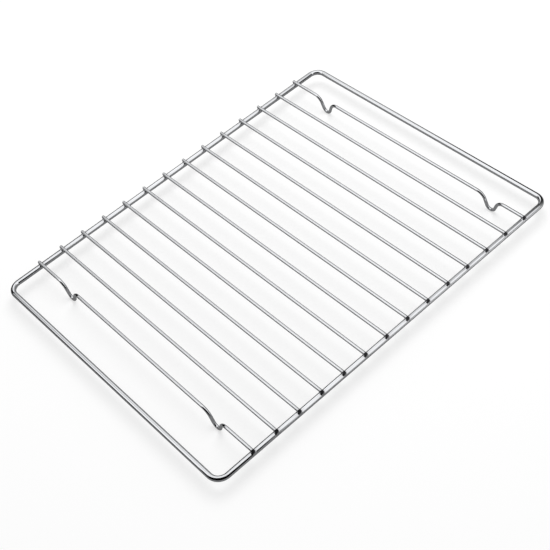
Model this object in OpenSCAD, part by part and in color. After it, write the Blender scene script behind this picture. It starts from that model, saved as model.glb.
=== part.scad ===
// Grill rack for a microwave oven, welded from bright round wire.
// X runs along the row of cross wires, Y runs along each cross wire and Z is up.
// The origin is on the surface that the feet stand on, under the middle of the ring.
// The front is the side that faces -Y, and left is the side that faces -X.

/* [Frame ring] */
// Outside length of the ring, along the row of cross wires
rack_length = 390; // [240:1:480]
// Outside width of the ring, along the cross wires
rack_width = 296; // [180:1:380]
// Diameter of the wire that the ring is bent from
frame_wire_d = 5; // [4:0.1:8]
// Inside radius of the ring's four corner bends
corner_inside_r = 7.5; // [5:0.5:40]
// Clear height under the ring, from the standing surface to its underside
ring_clearance = 9.5; // [7:0.5:40]

/* [Cross wires] */
// Number of cross wires, with the two outer ones that carry the feet
wire_count = 14; // [4:1:18]
// Diameter of the cross wires
cross_wire_d = 3; // [2.2:0.1:4]
// Distance from the centre of the ring's left side to the centre of the first wire
left_wire_inset = 36; // [12:0.5:60]
// Distance from the centre of the ring's right side to the centre of the last wire
right_wire_inset = 30.5; // [12:0.5:60]
// How far a wire runs on past the centre of the frame wire that carries it
end_past_frame = 1.3; // [0.5:0.1:2.4]
// Radius of the rounding over the cropped end of a wire
end_dome_r = 2.2; // [2.1:0.1:8]

/* [Feet] */
// Distance from the centre of the ring's long side to the toe of a foot
foot_inset = 45; // [25:0.5:70]
// The same distance for the front right foot, which is bent nearer to its side
front_right_foot_inset = 36.5; // [25:0.5:70]
// Slope of both legs of a foot, in degrees from level
foot_slope = 68; // [50:1:78]
// Inside radius of the bend where a leg leaves the level wire
foot_top_r = 8; // [4:0.5:10]
// Inside radius of the bend at the toe
foot_toe_r = 3.2; // [2:0.1:6]
// How much thinner the wire draws out where it is bent
bend_thinning = 0.06; // [0.04:0.01:0.2]

/* [Welds] */
// Depth to which welding presses a cross wire into the frame wire
weld_set_down = 0.3; // [0.1:0.05:0.6]
// Height from the centre of the frame wire to the bottom of the weld metal
weld_base_rise = 1; // [0.5:0.1:1.5]
// How far inside the frame wire's flank the bottom of the weld metal stops
weld_flank_inset = 0.1; // [0.05:0.05:0.5]
// Share of the cross wire's diameter that the weld metal narrows to under it
weld_top_share = 0.85; // [0.6:0.05:0.95]

/* [Hidden] */
$fn = 48;
side_x = (rack_length - frame_wire_d) / 2;
side_y = (rack_width - frame_wire_d) / 2;
corner_r = corner_inside_r + frame_wire_d / 2;
ring_z = ring_clearance + frame_wire_d / 2;
wire_z = ring_clearance + frame_wire_d + cross_wire_d / 2 - weld_set_down;
wire_pitch = (2 * side_x - left_wire_inset - right_wire_inset) / (wire_count - 1);
wire_reach = side_y + end_past_frame;
bent_wire_d = cross_wire_d - bend_thinning;
dome_height = end_dome_r - sqrt(pow(end_dome_r, 2) - pow(bent_wire_d / 2, 2));
bend_lap = 0.1;
dome_lap = 0.01;
foot_depth = wire_z - bent_wire_d / 2;
top_r = foot_top_r + cross_wire_d / 2;
toe_r = foot_toe_r + cross_wire_d / 2;
leg_length = (foot_depth - (top_r + toe_r) * (1 - cos(foot_slope))) / sin(foot_slope);
foot_half_span = (top_r + toe_r) * sin(foot_slope) + leg_length * cos(foot_slope);
weld_height = wire_z - ring_z - weld_base_rise;
weld_top_d = cross_wire_d * weld_top_share;
weld_base_d = 2 * (sqrt(pow(frame_wire_d / 2, 2) - pow(weld_base_rise, 2)) - weld_flank_inset);
inner_wires = [for (n = [2 : wire_count - 1]) n];

// Place of the cross wire with this number, counted from the left
function wire_x(n) = left_wire_inset - side_x + (n - 1) * wire_pitch;

// The next three modules draw a wire that sets out along +Y.
// Each one ends by putting what follows at the far end of its own stretch.
module straight(length) {
  rotate([-90, 0, 0]) cylinder(d = cross_wire_d, h = length);
  translate([0, length, 0]) children();
}

// A bend of the given centre line radius, up for a positive turn and down for a negative one.
// It is a little thinner than the straight wire and runs a short way into it at both ends.
module bend(radius, turn) {
  side = sign(turn);
  lap_angle = asin(bend_lap / radius);
  mirror([0, 0, side < 0 ? 1 : 0])
    translate([0, 0, radius]) rotate([0, 90, 0])
      rotate_extrude(angle = abs(turn) + 2 * lap_angle, start = -lap_angle)
        translate([radius, 0]) circle(d = bent_wire_d);
  translate([0, radius * sin(abs(turn)), side * radius * (1 - cos(turn))])
    rotate([turn, 0, 0]) children();
}

// One foot: down a leg, round the toe and up the other leg to the same level
module foot() {
  bend(top_r, -foot_slope) straight(leg_length)
    bend(toe_r, 2 * foot_slope) straight(leg_length)
      bend(top_r, -foot_slope) children();
}

// The rounded end of a wire, which bulges along +Y from just inside the cropped face
module domed_end() {
  intersection() {
    translate([-end_dome_r, -dome_lap, -end_dome_r])
      cube([2 * end_dome_r, end_dome_r, 2 * end_dome_r]);
    translate([0, dome_height - end_dome_r, 0]) sphere(r = end_dome_r);
  }
}

// Both long sides of the ring as plain rods, which cut the seats of the wires
module long_side_rods(length) {
  for (side = [-1, 1])
    translate([0, side * side_y, ring_z]) rotate([0, 90, 0])
      cylinder(d = frame_wire_d, h = length, center = true);
}

// Weld metal under both ends of a wire, which widens down on to the frame wire
module weld_metal() {
  for (side = [-1, 1])
    translate([0, side * side_y, ring_z + weld_base_rise])
      cylinder(d1 = weld_base_d, d2 = weld_top_d, h = weld_height);
}

// Seats whatever wire it is given on the ring: its ends are domed, it is welded and saddled
module welded_wire(n) {
  translate([wire_x(n), 0, 0]) difference() {
    union() {
      translate([0, dome_height - wire_reach, wire_z]) children();
      for (side = [0, 1])
        mirror([0, side, 0]) translate([0, wire_reach - dome_height, wire_z]) domed_end();
      weld_metal();
    }
    long_side_rods(2 * frame_wire_d);
  }
}

// A straight cross wire
module cross_wire(n) {
  color("gainsboro") welded_wire(n) straight(2 * (wire_reach - dome_height));
}

// An outer wire, bent down into a front foot and a back foot
module leg_wire(n, front_inset, back_inset) {
  to_front_foot = end_past_frame - dome_height + front_inset - foot_half_span;
  to_back_foot = end_past_frame - dome_height + back_inset - foot_half_span;
  between_feet = 2 * side_y - front_inset - back_inset - 2 * foot_half_span;
  color("silver") welded_wire(n)
    straight(to_front_foot) foot() straight(between_feet) foot() straight(to_back_foot);
}

// The closed ring: two long sides, two short sides and four corner bends
module frame_ring() {
  color("lightgray") union() {
    long_side_rods(2 * (side_x - corner_r));
    for (side = [-1, 1])
      translate([side * side_x, 0, ring_z]) rotate([90, 0, 0])
        cylinder(d = frame_wire_d, h = 2 * (side_y - corner_r), center = true);
    for (turn = [0, 1], flip = [0, 1])
      mirror([turn, 0, 0]) mirror([0, flip, 0])
        translate([side_x - corner_r, side_y - corner_r, ring_z])
          rotate_extrude(angle = 90) translate([corner_r, 0]) circle(d = frame_wire_d);
  }
}

module left_leg_wire() {
  leg_wire(1, foot_inset, foot_inset);
}

module right_leg_wire() {
  leg_wire(wire_count, front_right_foot_inset, foot_inset);
}

frame_ring();
left_leg_wire();
right_leg_wire();
for (n = inner_wires) cross_wire(n);
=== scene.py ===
"""Looks of a grill rack for a microwave oven: chrome plated wire, its welds, and a plain studio.

The script is laid out as an add-on. Its sizes and colours are properties, each kind of piece has an
operator, and the panel in the sidebar lists them. All lengths are in metres.
"""

import math

import bpy
import numpy as np
from bpy.props import FloatProperty, FloatVectorProperty, IntProperty, PointerProperty
from mathutils import Matrix, Vector


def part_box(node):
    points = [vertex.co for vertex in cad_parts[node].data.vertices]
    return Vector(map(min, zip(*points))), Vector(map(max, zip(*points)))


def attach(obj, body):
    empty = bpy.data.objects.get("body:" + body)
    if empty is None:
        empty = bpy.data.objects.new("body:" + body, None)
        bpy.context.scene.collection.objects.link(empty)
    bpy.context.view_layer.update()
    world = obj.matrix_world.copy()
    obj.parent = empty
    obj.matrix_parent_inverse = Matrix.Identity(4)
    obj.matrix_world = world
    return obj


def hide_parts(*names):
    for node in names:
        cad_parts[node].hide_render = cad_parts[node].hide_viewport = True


bl_info = {
    "name": "Wire Grill Rack",
    "version": (1, 0, 0),
    "blender": (4, 5, 0),
    "location": "View3D > Sidebar > Rack",
    "description": "Chrome plated wires, welds and studio of a grill rack for a microwave oven",
    "category": "Object",
}

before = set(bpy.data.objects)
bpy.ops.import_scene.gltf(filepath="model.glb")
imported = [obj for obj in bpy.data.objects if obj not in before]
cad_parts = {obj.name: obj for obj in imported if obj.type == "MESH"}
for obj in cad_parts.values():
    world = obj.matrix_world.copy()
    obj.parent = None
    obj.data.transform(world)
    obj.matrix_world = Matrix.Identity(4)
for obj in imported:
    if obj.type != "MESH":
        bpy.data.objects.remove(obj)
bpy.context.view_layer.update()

MM = 0.001
RING_NODE = "frame_ring"
LEG_NODES = ("left_leg_wire", "right_leg_wire")
CROSS_NODES = tuple(n for n in sorted(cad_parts) if n.startswith("cross_wire_"))

boxes = {node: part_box(node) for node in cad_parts}
ring_low, ring_high = boxes[RING_NODE]
wire_low, wire_high = boxes[CROSS_NODES[0]]
wire_places = np.array([(boxes[n][0].x + boxes[n][1].x) / 2 for n in (*LEG_NODES, *CROSS_NODES)])


class RackSizes(bpy.types.PropertyGroup):
    """Sizes of the wires, their bends and their welds."""

    ring_wire: FloatProperty(
        name="Ring wire",
        description="Diameter of the wire that the ring is bent from",
        default=ring_high.z - ring_low.z,
        unit="LENGTH",
    )
    cross_wire: FloatProperty(
        name="Cross wire",
        description="Diameter of the cross wires",
        default=3 * MM,
        unit="LENGTH",
    )
    corner_inside: FloatProperty(
        name="Corner radius",
        description="Inside radius of the ring's corner bends",
        default=7.5 * MM,
        unit="LENGTH",
    )
    foot_inset: FloatProperty(
        name="Foot inset",
        description="From the middle of the ring's long side to the toe of a foot",
        default=45 * MM,
        unit="LENGTH",
    )
    front_right_inset: FloatProperty(
        name="Front right foot inset",
        description="The same distance for the foot that is bent nearer to its side",
        default=36.5 * MM,
        unit="LENGTH",
    )
    foot_slope: FloatProperty(
        name="Foot slope",
        description="Slope of both legs of a foot",
        default=math.radians(68),
        subtype="ANGLE",
    )
    foot_top_inside: FloatProperty(
        name="Top bend",
        description="Inside radius where a leg leaves the level wire",
        default=8 * MM,
        unit="LENGTH",
    )
    foot_toe_inside: FloatProperty(
        name="Toe bend",
        description="Inside radius of the bend at the toe",
        default=3.2 * MM,
        unit="LENGTH",
    )
    bend_thinning: FloatProperty(
        name="Bend thinning",
        description="How much thinner the wire draws out where it is bent",
        default=0.06 * MM,
        unit="LENGTH",
    )
    weld_fillet: FloatProperty(
        name="Weld fillet",
        description="Reach of the weld metal that runs from a cross wire to the ring",
        default=1.3 * MM,
        unit="LENGTH",
    )
    end_round: FloatProperty(
        name="End rounding",
        description="Radius of the rim of a wire's cropped end",
        default=0.3 * MM,
        unit="LENGTH",
    )
    end_bulge: FloatProperty(
        name="End bulge",
        description="How far the middle of a cropped end stands out past its rim",
        default=0.12 * MM,
        unit="LENGTH",
    )
    end_slant: FloatProperty(
        name="End slant",
        description="Lean of the cropped ends, which the shear left facing up at the front",
        default=math.radians(25),
        subtype="ANGLE",
    )
    wire_shift: FloatProperty(
        name="Wire shift",
        description="How far the row of welded wires lies towards the back of the ring",
        default=0.6 * MM,
        unit="LENGTH",
    )
    around: IntProperty(
        name="Sides",
        description="Number of sides of each wire",
        default=64,
    )


class ChromeFinish(bpy.types.PropertyGroup):
    """Colour and surface of the plating."""

    colour: FloatVectorProperty(
        name="Chrome",
        description="Colour of the bright plating",
        default=(0.79, 0.80, 0.82),
        subtype="COLOR",
        size=3,
    )
    weld_colour: FloatVectorProperty(
        name="Weld chrome",
        description="Colour of the duller plating over the welds",
        default=(0.55, 0.55, 0.565),
        subtype="COLOR",
        size=3,
    )
    roughness: FloatProperty(
        name="Roughness",
        description="Roughness of the clean plating",
        default=0.06,
        subtype="FACTOR",
    )
    weld_roughness: FloatProperty(
        name="Weld roughness",
        description="Added roughness over the welds",
        default=0.02,
        subtype="FACTOR",
    )
    # Painted shade: the cropped faces are painted near black to stand in for the dark reflection and shade at
    # the wire ends. Their extra roughness is real.
    cut_painted_shade: FloatVectorProperty(
        name="Cut face",
        description="Colour of the rough faces where the wires were cropped",
        default=(0.05, 0.05, 0.055),
        subtype="COLOR",
        size=3,
    )
    cut_roughness: FloatProperty(
        name="Cut roughness",
        description="Added roughness of the cropped faces",
        default=0.25,
        subtype="FACTOR",
    )
    line_depth: FloatProperty(
        name="Draw lines",
        description="Depth of the fine lines that drawing leaves along the wire",
        default=0.005 * MM,
        unit="LENGTH",
        precision=6,
    )


class StudioLook(bpy.types.PropertyGroup):
    """Floor, light and camera."""

    floor_colour: FloatVectorProperty(
        name="Floor",
        description="Colour of the floor",
        default=(0.93, 0.93, 0.93),
        subtype="COLOR",
        size=3,
    )
    floor_in_metal: FloatProperty(
        name="Floor in metal",
        description="Share of the floor's paleness that the metal shows",
        default=0.18,
        subtype="FACTOR",
    )
    floor_white: FloatProperty(
        name="Floor whiteness",
        description="Share of plain white in the floor, which makes its shadows fainter",
        default=0.58,
        subtype="FACTOR",
    )
    ambient: FloatProperty(
        name="Ambient light",
        description="Brightness of the light that comes from all round",
        default=0.62,
    )
    key_power: FloatProperty(
        name="Soft light",
        description="Power of the large soft lamp",
        default=15.5,
        unit="POWER",
    )
    focal_length: FloatProperty(
        name="Focal length",
        description="Focal length of the camera's lens, in millimetres",
        default=73.13,
    )


class NodeKit:
    """Makes the nodes of one material or world."""

    def __init__(self, tree):
        self.tree = tree
        tree.nodes.clear()

    def add(self, kind, settings=None, values=None):
        """A node of that kind: its settings are set first, and then its sockets by name or number."""
        node = self.tree.nodes.new(kind)
        for name, value in (settings or {}).items():
            setattr(node, name, value)
        for name, value in (values or {}).items():
            if isinstance(value, Sum):
                value = value.socket
            if isinstance(value, bpy.types.NodeSocket):
                self.tree.links.new(value, node.inputs[name])
            else:
                node.inputs[name].default_value = value
        return node

    def value(self, socket):
        """The socket as a value that takes sums."""
        return Sum(self, socket)


class Sum:
    """A number in a node tree. Arithmetic on it adds the Math nodes that work it out."""

    def __init__(self, kit, socket):
        self.kit = kit
        self.socket = socket

    def math(self, operation, *values, clamp=False):
        settings = {"operation": operation, "use_clamp": clamp}
        node = self.kit.add("ShaderNodeMath", settings, dict(enumerate(values)))
        return Sum(self.kit, node.outputs[0])

    def __add__(self, other):
        return self.math("ADD", self, other)

    def __sub__(self, other):
        return self.math("SUBTRACT", self, other)

    def __rsub__(self, other):
        return self.math("SUBTRACT", other, self)

    def __mul__(self, other):
        return self.math("MULTIPLY", self, other)

    def __truediv__(self, other):
        return self.math("DIVIDE", self, other)

    __radd__ = __add__
    __rmul__ = __mul__

    def larger(self, other):
        return self.math("MAXIMUM", self, other)

    def ramp(self, low, high):
        """0 below low, 1 above high, and a smooth step between them."""
        values = {0: self, 1: low, 2: high, 3: 0.0, 4: 1.0}
        node = self.kit.add("ShaderNodeMapRange", {"interpolation_type": "SMOOTHSTEP"}, values)
        return Sum(self.kit, node.outputs[0])


def mix_colour(kit, factor, first, second):
    """A colour that goes from the first to the second with the factor."""
    node = kit.add("ShaderNodeMix", {"data_type": "RGBA"}, {"Factor": factor})
    for socket, colour in ((node.inputs[6], first), (node.inputs[7], second)):
        if isinstance(colour, bpy.types.NodeSocket):
            kit.tree.links.new(colour, socket)
        else:
            socket.default_value = (*colour, 1.0)
    return node.outputs[2]


def noise(kit, vector, scale, detail=2.0, stretch=(1.0, 1.0, 1.0)):
    """Noise from 0 to 1 over the vector, drawn out along each axis by the stretch."""
    scaled = kit.add("ShaderNodeVectorMath", {"operation": "MULTIPLY"}, {0: vector, 1: stretch})
    values = {"Vector": scaled.outputs[0], "Scale": scale, "Detail": detail}
    return kit.value(kit.add("ShaderNodeTexNoise", None, values).outputs[0])


def new_material(name):
    """An empty material with a node tree."""
    material = bpy.data.materials.new(name)
    material.use_nodes = True
    return material, NodeKit(material.node_tree)


def chrome_material():
    """Bright chrome on drawn wire: fine lines along it, duller plating over the welds, and cropped faces
    painted near black as painted shade and dark reflection.
    """
    finish = bpy.context.scene.chrome_finish
    material, kit = new_material("bright_chrome")
    run = kit.add("ShaderNodeAttribute", {"attribute_name": "wire_run"}).outputs["Vector"]
    near = kit.value(kit.add("ShaderNodeAttribute", {"attribute_name": "weld_near"}).outputs["Fac"])
    lines = noise(kit, run, 5.0, 3.0, (1.0, 1.0, 0.01))
    cloud = noise(kit, run, 0.35, 2.0, (1.0, 1.0, 0.4))
    haze = near.ramp(0.0, 1.0) * (cloud * 0.6 + 0.7)
    cut = kit.value(kit.add("ShaderNodeAttribute", {"attribute_name": "cut_face"}).outputs["Fac"])
    plated = mix_colour(kit, haze * 0.8, finish.colour, finish.weld_colour)
    rough = finish.roughness + haze * finish.weld_roughness + cloud * 0.03 + lines * 0.02
    grain = noise(kit, run, 2.2, 4.0, (1.0, 0.25, 1.0)).ramp(0.35, 0.65)
    # The cropped faces get a near-black colour with a random grain: painted shade and dark reflection over the
    # rough cut.
    torn_painted_shade = mix_colour(kit, grain, [c * 0.35 for c in finish.cut_painted_shade], [c * 2.2 for c in finish.cut_painted_shade])
    shine = kit.add(
        "ShaderNodeBsdfPrincipled",
        None,
        {
            "Metallic": 1.0,
            "Base Color": mix_colour(kit, cut, plated, torn_painted_shade),
            "Roughness": rough + cut * finish.cut_roughness,
        },
    )
    height = lines + cut * grain * CUT_GRAIN
    bump = kit.add("ShaderNodeBump", None, {"Height": height, "Distance": finish.line_depth, "Strength": 0.5})
    kit.tree.links.new(bump.outputs[0], shine.inputs["Normal"])
    out = kit.add("ShaderNodeOutputMaterial", None, {"Surface": shine.outputs[0]})
    out.is_active_output = True
    return material


class Wire:
    """The centre line of one wire as a list of stations, each with its own directions and radius."""

    def __init__(self, start, forward, up, radius):
        self.point = np.array(start, float)
        self.forward = np.array(forward, float)
        self.up = np.array(up, float)
        self.radius = radius
        self.length = 0.0
        self.stations = []
        self.mark(radius)

    def mark(self, radius):
        """Notes a station at the place that the wire has reached."""
        side = np.cross(self.forward, self.up)
        self.stations.append((self.point.copy(), side, self.up.copy(), radius, self.length))

    def straight(self, length, steps=1):
        """Runs straight on."""
        for _ in range(steps):
            self.point += self.forward * (length / steps)
            self.length += length / steps
            self.mark(self.radius)

    def bend(self, radius, turn, axis, steps, thinning=0.0):
        """Turns about the axis, and is thinner by the thinning in the middle of the bend."""
        step = turn / steps
        chord = 2 * radius * math.sin(abs(step) / 2)
        half = np.array(Matrix.Rotation(step / 2, 3, Vector(axis)))
        for n in range(1, steps + 1):
            self.forward = half @ self.forward
            self.point += self.forward * chord
            self.forward = half @ self.forward
            self.up = half @ half @ self.up
            self.length += radius * abs(step)
            slim = thinning / 2 * min(1.0, 4 * math.sin(math.pi * n / steps))
            self.mark(self.radius - slim)


def tube_mesh(name, rings, closed):
    """A mesh over rings of points, of equal count: joined end to end, or closed with a point at each end."""
    count, around = rings.shape[:2]
    points = rings.reshape(-1, 3)
    faces = []
    for i in range(count if closed else count - 1):
        a, b = i * around, (i + 1) % count * around
        for j in range(around):
            k = (j + 1) % around
            faces.append((a + j, b + j, b + k, a + k))
    if not closed:
        first, last = len(points), len(points) + 1
        points = np.vstack([points, rings[0].mean(0), rings[-1].mean(0)])
        end = (count - 1) * around
        for j in range(around):
            k = (j + 1) % around
            faces.append((first, j, k))
            faces.append((last, end + k, end + j))
    mesh = bpy.data.meshes.new(name)
    mesh.from_pydata(points.tolist(), [], faces)
    mesh.validate()
    mesh.polygons.foreach_set("use_smooth", [True] * len(mesh.polygons))
    return mesh


def circle(around):
    """Cosine and sine of the angle of each side."""
    angle = np.linspace(0, 2 * math.pi, around, endpoint=False)
    return np.cos(angle), np.sin(angle)


def note_surface(mesh, stations, around, weld_places, capped):
    """Keeps on each point where it is on the straight wire, in millimetres, and how near a weld is."""
    cos, sin = circle(around)
    length = np.array([s[4] for s in stations])
    radius = np.array([s[3] for s in stations])
    run = np.stack(
        [
            radius[:, None] * cos[None],
            radius[:, None] * sin[None],
            np.repeat(length[:, None], around, 1),
        ],
        2,
    ).reshape(-1, 3)
    if capped:
        run = np.vstack([run, [0, 0, length[0]], [0, 0, length[-1]]])
    co = np.array([v.co for v in mesh.vertices])
    gap = np.min([np.linalg.norm(co - np.array(p), axis=1) for p in weld_places], axis=0)
    near = np.clip(1 - gap / WELD_HAZE, 0, 1)
    mesh.attributes.new("wire_run", "FLOAT_VECTOR", "POINT").data.foreach_set("vector", (run / MM).ravel())
    mesh.attributes.new("weld_near", "FLOAT", "POINT").data.foreach_set("value", near)


WELD_HAZE = 6 * MM
CUT_GRAIN = 12.0


def add_piece(name, mesh, node):
    """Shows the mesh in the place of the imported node."""
    piece = bpy.data.objects.new(name, mesh)
    bpy.context.scene.collection.objects.link(piece)
    mesh.materials.append(bpy.data.materials["bright_chrome"])
    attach(piece, "root")
    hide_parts(node)
    return piece


def ring_height():
    return (ring_low.z + ring_high.z) / 2


def side_place(sizes):
    """Half the distance between the centre lines of the ring's long sides."""
    return ring_high.y - sizes.ring_wire / 2


def weld_places(node, sizes):
    """Where the wire of that node crosses the ring."""
    low, high = boxes[node]
    x = (low.x + high.x) / 2
    z = ring_high.z
    return [(x, side * side_place(sizes), z) for side in (-1, 1)]


def ring_gap(points, sizes):
    """How far the points lie outside the nearer long side of the ring."""
    across = np.abs(points[..., 1]) - side_place(sizes)
    return np.hypot(across, points[..., 2] - ring_height()) - sizes.ring_wire / 2


def wire_gap(points, sizes):
    """How far the points lie outside the nearest cross wire, which ends at its cropped face."""
    radius = sizes.cross_wire / 2
    beside = np.abs(points[..., 0, None] - wire_places).min(-1)
    above = points[..., 2] - (wire_high.z - radius)
    skin = np.hypot(beside, above) - radius
    along = points[..., 1] - sizes.wire_shift
    lean = along * math.cos(sizes.end_slant) - above * math.sin(sizes.end_slant)
    past = np.abs(lean) - (wire_high.y - slant_depth(sizes) / 2) * math.cos(sizes.end_slant)
    return np.where(past > 0, np.hypot(np.maximum(skin, 0), past), skin)


def grow_weld(points, normals, own_gap, other_gap, sizes):
    """Lifts a skin near a crossing on to the fillet of weld metal, which touches wire and ring."""
    reach = sizes.weld_fillet
    near = np.nonzero(other_gap(points, sizes) < reach)
    start, out = points[near], normals[near]
    lift = np.zeros(len(start))
    found = np.zeros(len(start), bool)
    lost = np.zeros(len(start), bool)
    before = np.full(len(start), -1.0)
    steps = np.linspace(0, WELD_LIFT * reach, WELD_LOOKS)
    for last, step in zip(np.append(0, steps), steps):
        place = start + out * step
        own, other = own_gap(place, sizes), other_gap(place, sizes)
        lost |= ~found & (other < 0)
        here = reach - np.hypot(np.maximum(reach - own, 0), np.maximum(reach - other, 0))
        met = ~found & ~lost & (here >= 0)
        share = np.where(met, -before / np.where(met, here - before, 1), 0)
        sink = np.clip((own - other) / WELD_MARGIN, 0, 1) * WELD_MARGIN / 2
        lift = np.where(met, np.maximum(last + share * (step - last) - sink, 0), lift)
        found |= met
        before = here
    points = points.copy()
    points[near] += out * lift[:, None]
    return points


WELD_LIFT = 1.3
WELD_LOOKS = 80
WELD_MARGIN = 0.3 * MM


def slant_depth(sizes):
    """How far the lean of a cropped end sets back its far edge."""
    return sizes.cross_wire * math.tan(sizes.end_slant)


def end_length(sizes):
    """From the last full section of a wire to the tip of its cropped end."""
    return SLANT_START + slant_depth(sizes) + sizes.end_round + sizes.end_bulge


SLANT_START = 0.1 * MM
SLANT_STEPS = 8


def end_profile(radius, sizes):
    """Steps from the full wire to its tip: radius, share of the slant, place, tilt of the skin, cut or not."""
    steps = [(radius, n / SLANT_STEPS, 0.0, 0.0, 0.0) for n in range(1, SLANT_STEPS + 1)]
    for n in range(1, 9):
        turn = math.pi / 2 * n / 8
        rim = radius - sizes.end_round * (1 - math.cos(turn))
        # The outer half of the rim and the whole face are marked as cut, so they are painted near black as
        # painted shade.
        steps.append((rim, 1.0, sizes.end_round * math.sin(turn), turn, 1.0 if n > 3 else 0.0))
    face = radius - sizes.end_round
    for n in range(1, 9):
        share = 1 - n / 8.2
        place = sizes.end_round + sizes.end_bulge * (1 - share**2)
        steps.append((face * share, 1.0, place, math.pi / 2, 1.0))
    return steps


def wire_rings(stations, sizes):
    """Rings of points round the wire, with a cropped end before the first station and after the last."""
    cos, sin = circle(sizes.around)
    rings, normals, marks, cuts = [], [], [], []

    def ring(station, radius, shift, tilt, cut, way=1):
        point, side, up, _, length = station
        forward = way * np.cross(up, side)
        facing = forward * math.cos(sizes.end_slant) - way * up * math.sin(sizes.end_slant)
        out = cos[:, None] * side + sin[:, None] * up
        rings.append(point + forward * np.reshape(shift, (-1, 1)) + out * radius)
        normals.append(out * math.cos(tilt) + facing * math.sin(tilt))
        marks.append((point, side, up, radius, length + way * np.mean(shift)))
        cuts.append(cut)

    def cropped(station, way):
        steps = end_profile(station[3], sizes)
        for radius, share, place, turn, cut in reversed(steps) if way < 0 else steps:
            lean = SLANT_START + slant_depth(sizes) * (1 + way * sin * radius / station[3]) / 2
            ring(station, radius, share * lean + place, turn, cut, way)

    cropped(stations[0], -1)
    for station in stations:
        ring(station, station[3], 0.0, 0.0, 0.0)
    cropped(stations[-1], 1)
    return np.array(rings), np.array(normals), marks, cuts


def wire_piece(name, node, wire, sizes):
    """A cross wire as a piece: swept, rounded at its ends and welded to the ring."""
    rings, normals, marks, cuts = wire_rings(wire.stations, sizes)
    rings = grow_weld(rings, normals, wire_gap, ring_gap, sizes)
    mesh = tube_mesh(name, rings, False)
    note_surface(mesh, marks, sizes.around, weld_places(node, sizes), True)
    # The cut_face mask marks the faces that are painted near black as painted shade, and made rougher.
    cut = np.append(np.repeat(cuts, sizes.around), [1.0, 1.0])
    mesh.attributes.new("cut_face", "FLOAT", "POINT").data.foreach_set("value", cut)
    return add_piece(name, mesh, node)


def start_of_wire(node, sizes):
    """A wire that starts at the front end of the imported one, and runs along +Y."""
    low, high = boxes[node]
    x = (low.x + high.x) / 2
    z = high.z - sizes.cross_wire / 2
    start = (x, low.y + end_length(sizes) + sizes.wire_shift, z)
    return Wire(start, (0, 1, 0), (0, 0, 1), sizes.cross_wire / 2)


def over_the_ring(wire, sizes):
    """A straight stretch with close stations, where the fillet of a weld needs them. Gives its length."""
    past = wire_high.y - side_place(sizes)
    length = past + sizes.ring_wire / 2 + sizes.weld_fillet + sizes.wire_shift + WELD_STEP
    wire.straight(length, math.ceil(length / WELD_STEP))
    return length


WELD_STEP = 0.2 * MM
RING_STEP = 0.25 * MM


class RACK_OT_ring(bpy.types.Operator):
    """Bends the ring"""

    bl_idname = "rack.ring"
    bl_label = "Ring"

    def execute(self, context):
        sizes = context.scene.rack_sizes
        radius = sizes.corner_inside + sizes.ring_wire / 2
        half_x = ring_high.x - sizes.ring_wire / 2
        half_y = side_place(sizes)
        joint = 0.1 * MM
        wire = Wire((joint, half_y, ring_height()), (1, 0, 0), (0, 0, 1), sizes.ring_wire / 2)
        self.along(wire, half_x - radius, sizes)
        for target in (radius - half_x, -joint):
            wire.bend(radius, -math.pi / 2, (0, 0, 1), 24, 0.08 * MM)
            wire.straight(2 * half_y - 2 * radius, 24)
            wire.bend(radius, -math.pi / 2, (0, 0, 1), 24, 0.08 * MM)
            self.along(wire, target, sizes)
        cos, sin = circle(sizes.around)
        out = np.array([cos[:, None] * s + sin[:, None] * u for _, s, u, _, _ in wire.stations])
        rings = np.array([p + r * o for (p, _, _, r, _), o in zip(wire.stations, out)])
        rings = grow_weld(rings, out, ring_gap, wire_gap, sizes)
        mesh = tube_mesh("chrome_ring", rings, True)
        places = [p for n in (*LEG_NODES, *CROSS_NODES) for p in weld_places(n, sizes)]
        note_surface(mesh, wire.stations, sizes.around, places, False)
        add_piece("chrome_ring", mesh, RING_NODE)
        return {"FINISHED"}

    def along(self, wire, target, sizes):
        """Runs along a long side to the target, with close stations at the crossings."""
        start = wire.point[0]
        low, high = min(start, target), max(start, target)
        close = sizes.weld_fillet + sizes.cross_wire / 2 + RING_STEP
        steps = np.arange(-close, close, RING_STEP)
        wide = np.arange(low, high, 8 * MM)
        wide = wide[np.abs(wide[:, None] - wire_places).min(1) > close + RING_STEP]
        stops = np.concatenate([(wire_places[:, None] + steps).ravel(), wide, [target]])
        stops = np.unique(stops[(stops >= low) & (stops <= high) & (np.abs(stops - start) > 1e-6)])
        for stop in stops if target > start else stops[::-1]:
            wire.straight(abs(stop - wire.point[0]))


class RACK_OT_cross_wires(bpy.types.Operator):
    """Welds on the straight cross wires"""

    bl_idname = "rack.cross_wires"
    bl_label = "Cross Wires"

    def execute(self, context):
        sizes = context.scene.rack_sizes
        for node in CROSS_NODES:
            wire = start_of_wire(node, sizes)
            length = boxes[node][1].y - boxes[node][0].y - 2 * end_length(sizes)
            over = over_the_ring(wire, sizes)
            wire.straight(length - 2 * over, 30)
            over_the_ring(wire, sizes)
            wire_piece("chrome_" + node, node, wire, sizes)
        return {"FINISHED"}


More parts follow.
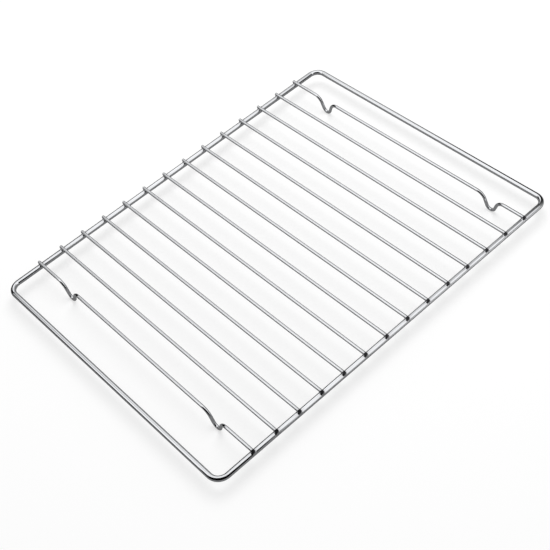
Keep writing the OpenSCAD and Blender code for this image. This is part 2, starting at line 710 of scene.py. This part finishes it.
class RACK_OT_leg_wires(bpy.types.Operator):
    """Welds on the two outer wires, which are bent down into the feet"""

    bl_idname = "rack.leg_wires"
    bl_label = "Leg Wires"

    def execute(self, context):
        sizes = context.scene.rack_sizes
        insets = ((sizes.foot_inset, sizes.foot_inset), (sizes.front_right_inset, sizes.foot_inset))
        for node, (front, back) in zip(LEG_NODES, insets):
            low, high = boxes[node]
            radius = sizes.cross_wire / 2
            top = sizes.foot_top_inside + radius
            toe = sizes.foot_toe_inside + radius
            slope = sizes.foot_slope
            depth = high.z - low.z - 2 * radius + sizes.bend_thinning / 2
            leg = (depth - (top + toe) * (1 - math.cos(slope))) / math.sin(slope)
            half_span = (top + toe) * math.sin(slope) + leg * math.cos(slope)
            half_y = side_place(sizes)
            end = high.y - half_y - end_length(sizes)
            wire = start_of_wire(node, sizes)
            over = over_the_ring(wire, sizes)
            wire.straight(end - sizes.wire_shift + front - half_span - over, 4)
            self.foot(wire, top, toe, leg, slope, sizes)
            wire.straight(2 * half_y - front - back - 2 * half_span, 20)
            self.foot(wire, top, toe, leg, slope, sizes)
            wire.straight(end + sizes.wire_shift + back - half_span - over, 4)
            over_the_ring(wire, sizes)
            wire_piece("chrome_" + node, node, wire, sizes)
        return {"FINISHED"}

    def foot(self, wire, top, toe, leg, slope, sizes):
        """Down a leg, round the toe and up the other leg."""
        across = (1, 0, 0)
        wire.bend(top, -slope, across, 20, sizes.bend_thinning)
        wire.straight(leg, 4)
        wire.bend(toe, 2 * slope, across, 28, sizes.bend_thinning)
        wire.straight(leg, 4)
        wire.bend(top, -slope, across, 20, sizes.bend_thinning)


class RACK_OT_studio(bpy.types.Operator):
    """Sets up the camera, the floor and the soft light"""

    bl_idname = "rack.studio"
    bl_label = "Studio"

    def execute(self, context):
        look = context.scene.studio_look
        self.camera(look)
        self.floor(look)
        self.light(look)
        self.world(look)
        self.softbox()
        for number, flag in enumerate(DARK_FLAGS):
            self.flag(number, *flag)
        context.scene.view_settings.view_transform = "Standard"
        return {"FINISHED"}

    def camera(self, look):
        """The camera looks at its aim from the photograph's direction, with its roll."""
        data = bpy.data.cameras.new("camera")
        data.lens = look.focal_length
        data.sensor_width = 36.0
        data.clip_start = 0.05
        camera = bpy.data.objects.new("camera", data)
        bpy.context.scene.collection.objects.link(camera)
        turn = Matrix.Rotation(math.radians(CAMERA_AZIMUTH), 4, "Z")
        tilt = Matrix.Rotation(math.radians(90 - CAMERA_ELEVATION), 4, "X")
        roll = Matrix.Rotation(math.radians(CAMERA_ROLL), 4, "Z")
        back = Matrix.Translation((0, 0, CAMERA_DISTANCE))
        camera.matrix_world = Matrix.Translation(CAMERA_AIM) @ turn @ tilt @ roll @ back
        bpy.context.scene.camera = camera

    def floor(self, look):
        """A plain pale floor. The metal shows it dimmer than it is."""
        data = bpy.data.meshes.new("floor")
        half = 12.0
        corners = [(-half, -half, 0), (half, -half, 0), (half, half, 0), (-half, half, 0)]
        data.from_pydata(corners, [], [(0, 1, 2, 3)])
        floor = bpy.data.objects.new("floor", data)
        bpy.context.scene.collection.objects.link(floor)
        material, kit = new_material("pale_floor")
        path = kit.add("ShaderNodeLightPath")
        seen = kit.value(path.outputs["Is Camera Ray"])
        place = kit.add("ShaderNodeTexCoord").outputs["Object"]
        spot = kit.add("ShaderNodeSeparateXYZ", None, {0: place})
        away = kit.add("ShaderNodeVectorMath", {"operation": "LENGTH"}, {0: place}).outputs["Value"]
        plain = kit.value(away).ramp(0.6, 1.6)
        right = kit.value(spot.outputs[0]).ramp(-0.079, 0.161)
        front = 1 - kit.value(spot.outputs[1]).ramp(-0.192, -0.172)
        share = look.floor_in_metal + right * front * 0.8
        shown = kit.value(path.outputs["Is Glossy Ray"]) * share
        through = kit.value(path.outputs["Is Transmission Ray"])
        pale = seen.larger(shown).larger(through)
        dull = kit.add("ShaderNodeBsdfDiffuse", None, {"Color": (0.06, 0.06, 0.06, 1)})
        light = kit.add("ShaderNodeBsdfDiffuse", None, {"Color": (*look.floor_colour, 1)})
        glow = kit.add("ShaderNodeEmission", None, {"Color": (1, 1, 1, 1), "Strength": 1.0})
        whiteness = look.floor_white + plain * (1 - look.floor_white)
        values = {0: whiteness, 1: light.outputs[0], 2: glow.outputs[0]}
        white = kit.add("ShaderNodeMixShader", None, values)
        both = kit.add("ShaderNodeMixShader", None, {0: pale, 1: dull.outputs[0], 2: white.outputs[0]})
        kit.add("ShaderNodeOutputMaterial", None, {"Surface": both.outputs[0]})
        data.materials.append(material)

    def screen(self, name, place, half_x, half_y):
        """A flat screen that only the metal sees. It comes with its material and the place on it."""
        corners = [(-half_x, -half_y, 0), (half_x, -half_y, 0), (half_x, half_y, 0), (-half_x, half_y, 0)]
        data = bpy.data.meshes.new(name)
        data.from_pydata(corners, [], [(0, 1, 2, 3)])
        screen = bpy.data.objects.new(name, data)
        bpy.context.scene.collection.objects.link(screen)
        screen.matrix_world = place
        screen.visible_camera = screen.visible_diffuse = screen.visible_transmission = False
        screen.visible_shadow = screen.visible_volume_scatter = False
        material, kit = new_material(name)
        data.materials.append(material)
        return kit, kit.add("ShaderNodeTexCoord").outputs["Object"]

    def show(self, kit, cover, strength):
        """Gives a screen its brightness where it covers, and clears it elsewhere."""
        clear = kit.add("ShaderNodeBsdfTransparent")
        shine = kit.add("ShaderNodeEmission", None, {"Color": (1, 1, 1, 1), "Strength": strength})
        mixed = kit.add("ShaderNodeMixShader", None, {0: cover, 1: clear.outputs[0], 2: shine.outputs[0]})
        kit.add("ShaderNodeOutputMaterial", None, {"Surface": mixed.outputs[0]})

    def flag(self, number, azimuth, elevation, distance, radius, soft):
        """A round dark screen beside the rack, which gives the wires their black edges."""
        way = Vector(toward(azimuth, elevation))
        middle = Matrix.Translation(way * distance + Vector((0, 0, ring_height())))
        place = middle @ way.to_track_quat("Z", "Y").to_matrix().to_4x4()
        half = radius + soft / 2
        kit, spot = self.screen(f"flag_{number}", place, half, half)
        away = kit.add("ShaderNodeVectorMath", {"operation": "LENGTH"}, {0: spot}).outputs["Value"]
        self.show(kit, 1 - kit.value(away).ramp(radius - soft / 2, radius + soft / 2), 0.0)

    def softbox(self):
        """A large bright screen, far over the right and the back."""
        half_x, half_y, soft, height = 0.3125, 1.229, 0.698, 1.599
        place = Matrix.Translation((0.66, 1.629, height))
        kit, spot = self.screen("softbox", place, half_x + soft / 2, half_y + soft / 2)
        part = kit.add("ShaderNodeSeparateXYZ", None, {0: spot})
        cover = 1
        for axis, half in ((0, half_x), (1, half_y)):
            along = kit.value(part.outputs[axis])
            cover = cover * along.ramp(-half - soft / 2, -half + soft / 2)
            cover = cover * (1 - along.ramp(half - soft / 2, half + soft / 2))
        self.show(kit, cover, 1.41)

    def light(self, look):
        """One large soft lamp, high on the right and behind."""
        data = bpy.data.lights.new("soft_light", "AREA")
        data.shape = "DISK"
        data.size = 1.3
        data.energy = look.key_power
        lamp = bpy.data.objects.new("soft_light", data)
        bpy.context.scene.collection.objects.link(lamp)
        place = Vector(LAMP_PLACE)
        lamp.location = place
        lamp.rotation_euler = (-place).to_track_quat("-Z", "Y").to_euler()
        lamp.visible_glossy = False

    def world(self, look):
        """White to the camera, plain light to the floor, and a studio with dark low sides to the metal."""
        world = bpy.data.worlds.new("studio")
        world.use_nodes = True
        bpy.context.scene.world = world
        kit = NodeKit(world.node_tree)
        way = kit.add("ShaderNodeTexCoord").outputs["Generated"]
        part = kit.add("ShaderNodeSeparateXYZ", None, {0: way})
        up = kit.value(part.outputs[2])
        high = up.ramp(-0.1, 0.5)
        facing = kit.add("ShaderNodeVectorMath", {"operation": "DOT_PRODUCT"}, {0: way, 1: toward(-131.5, 43)})
        hot = kit.value(facing.outputs["Value"]).ramp(math.cos(math.radians(73)), math.cos(math.radians(68)))
        studio = high * (0.53 + hot * 0.59)
        path = kit.add("ShaderNodeLightPath")
        glossy = kit.value(path.outputs["Is Glossy Ray"])
        camera = kit.value(path.outputs["Is Camera Ray"])
        strength = glossy * studio + camera + (1 - glossy.larger(camera)) * look.ambient
        background = kit.add("ShaderNodeBackground", None, {"Strength": strength})
        background.inputs["Color"].default_value = (1, 1, 1, 1)
        kit.add("ShaderNodeOutputWorld", None, {"Surface": background.outputs[0]})


DARK_FLAGS = (
    (-129.2, 18.8, 0.611, 0.93, 0.15),
    (99.7, 8.4, 0.331, 0.159, 0.184),
    (-5.5, 5.6, 0.991, 0.70, 0.12),
    (-66.0, -8.0, 0.50, 0.26, 0.06),
)


def toward(azimuth, elevation):
    """The direction at that azimuth, from +Y towards +X, and that elevation, in degrees."""
    turn, rise = math.radians(azimuth), math.radians(elevation)
    return (math.sin(turn) * math.cos(rise), math.cos(turn) * math.cos(rise), math.sin(rise))


CAMERA_AIM = (-0.02359, -0.02573, 0.012)
CAMERA_AZIMUTH = -33.65
CAMERA_ELEVATION = 48.50
CAMERA_ROLL = -11.85
CAMERA_DISTANCE = 0.9683
LAMP_PLACE = (0.62, 0.38, 1.3)


class RACK_PT_panel(bpy.types.Panel):
    """Lists the steps that build the rack"""

    bl_idname = "RACK_PT_panel"
    bl_label = "Grill Rack"
    bl_space_type = "VIEW_3D"
    bl_region_type = "UI"
    bl_category = "Rack"

    def draw(self, context):
        layout = self.layout
        for operator in OPERATORS:
            layout.operator(operator.bl_idname)
        for group in PROPERTIES:
            values = getattr(context.scene, group)
            for name in values.bl_rna.properties.keys():
                if name not in ("name", "rna_type"):
                    layout.prop(values, name)


OPERATORS = (RACK_OT_studio, RACK_OT_ring, RACK_OT_cross_wires, RACK_OT_leg_wires)
PROPERTIES = {"rack_sizes": RackSizes, "chrome_finish": ChromeFinish, "studio_look": StudioLook}


def register():
    for group in (*PROPERTIES.values(), *OPERATORS, RACK_PT_panel):
        bpy.utils.register_class(group)
    for name, group in PROPERTIES.items():
        setattr(bpy.types.Scene, name, PointerProperty(type=group))


def unregister():
    for name in PROPERTIES:
        delattr(bpy.types.Scene, name)
    for group in (RACK_PT_panel, *reversed(OPERATORS), *PROPERTIES.values()):
        bpy.utils.unregister_class(group)


def main():
    register()
    chrome_material()
    bpy.ops.rack.studio()
    bpy.ops.rack.ring()
    bpy.ops.rack.cross_wires()
    bpy.ops.rack.leg_wires()


if __name__ == "__main__":
    main()
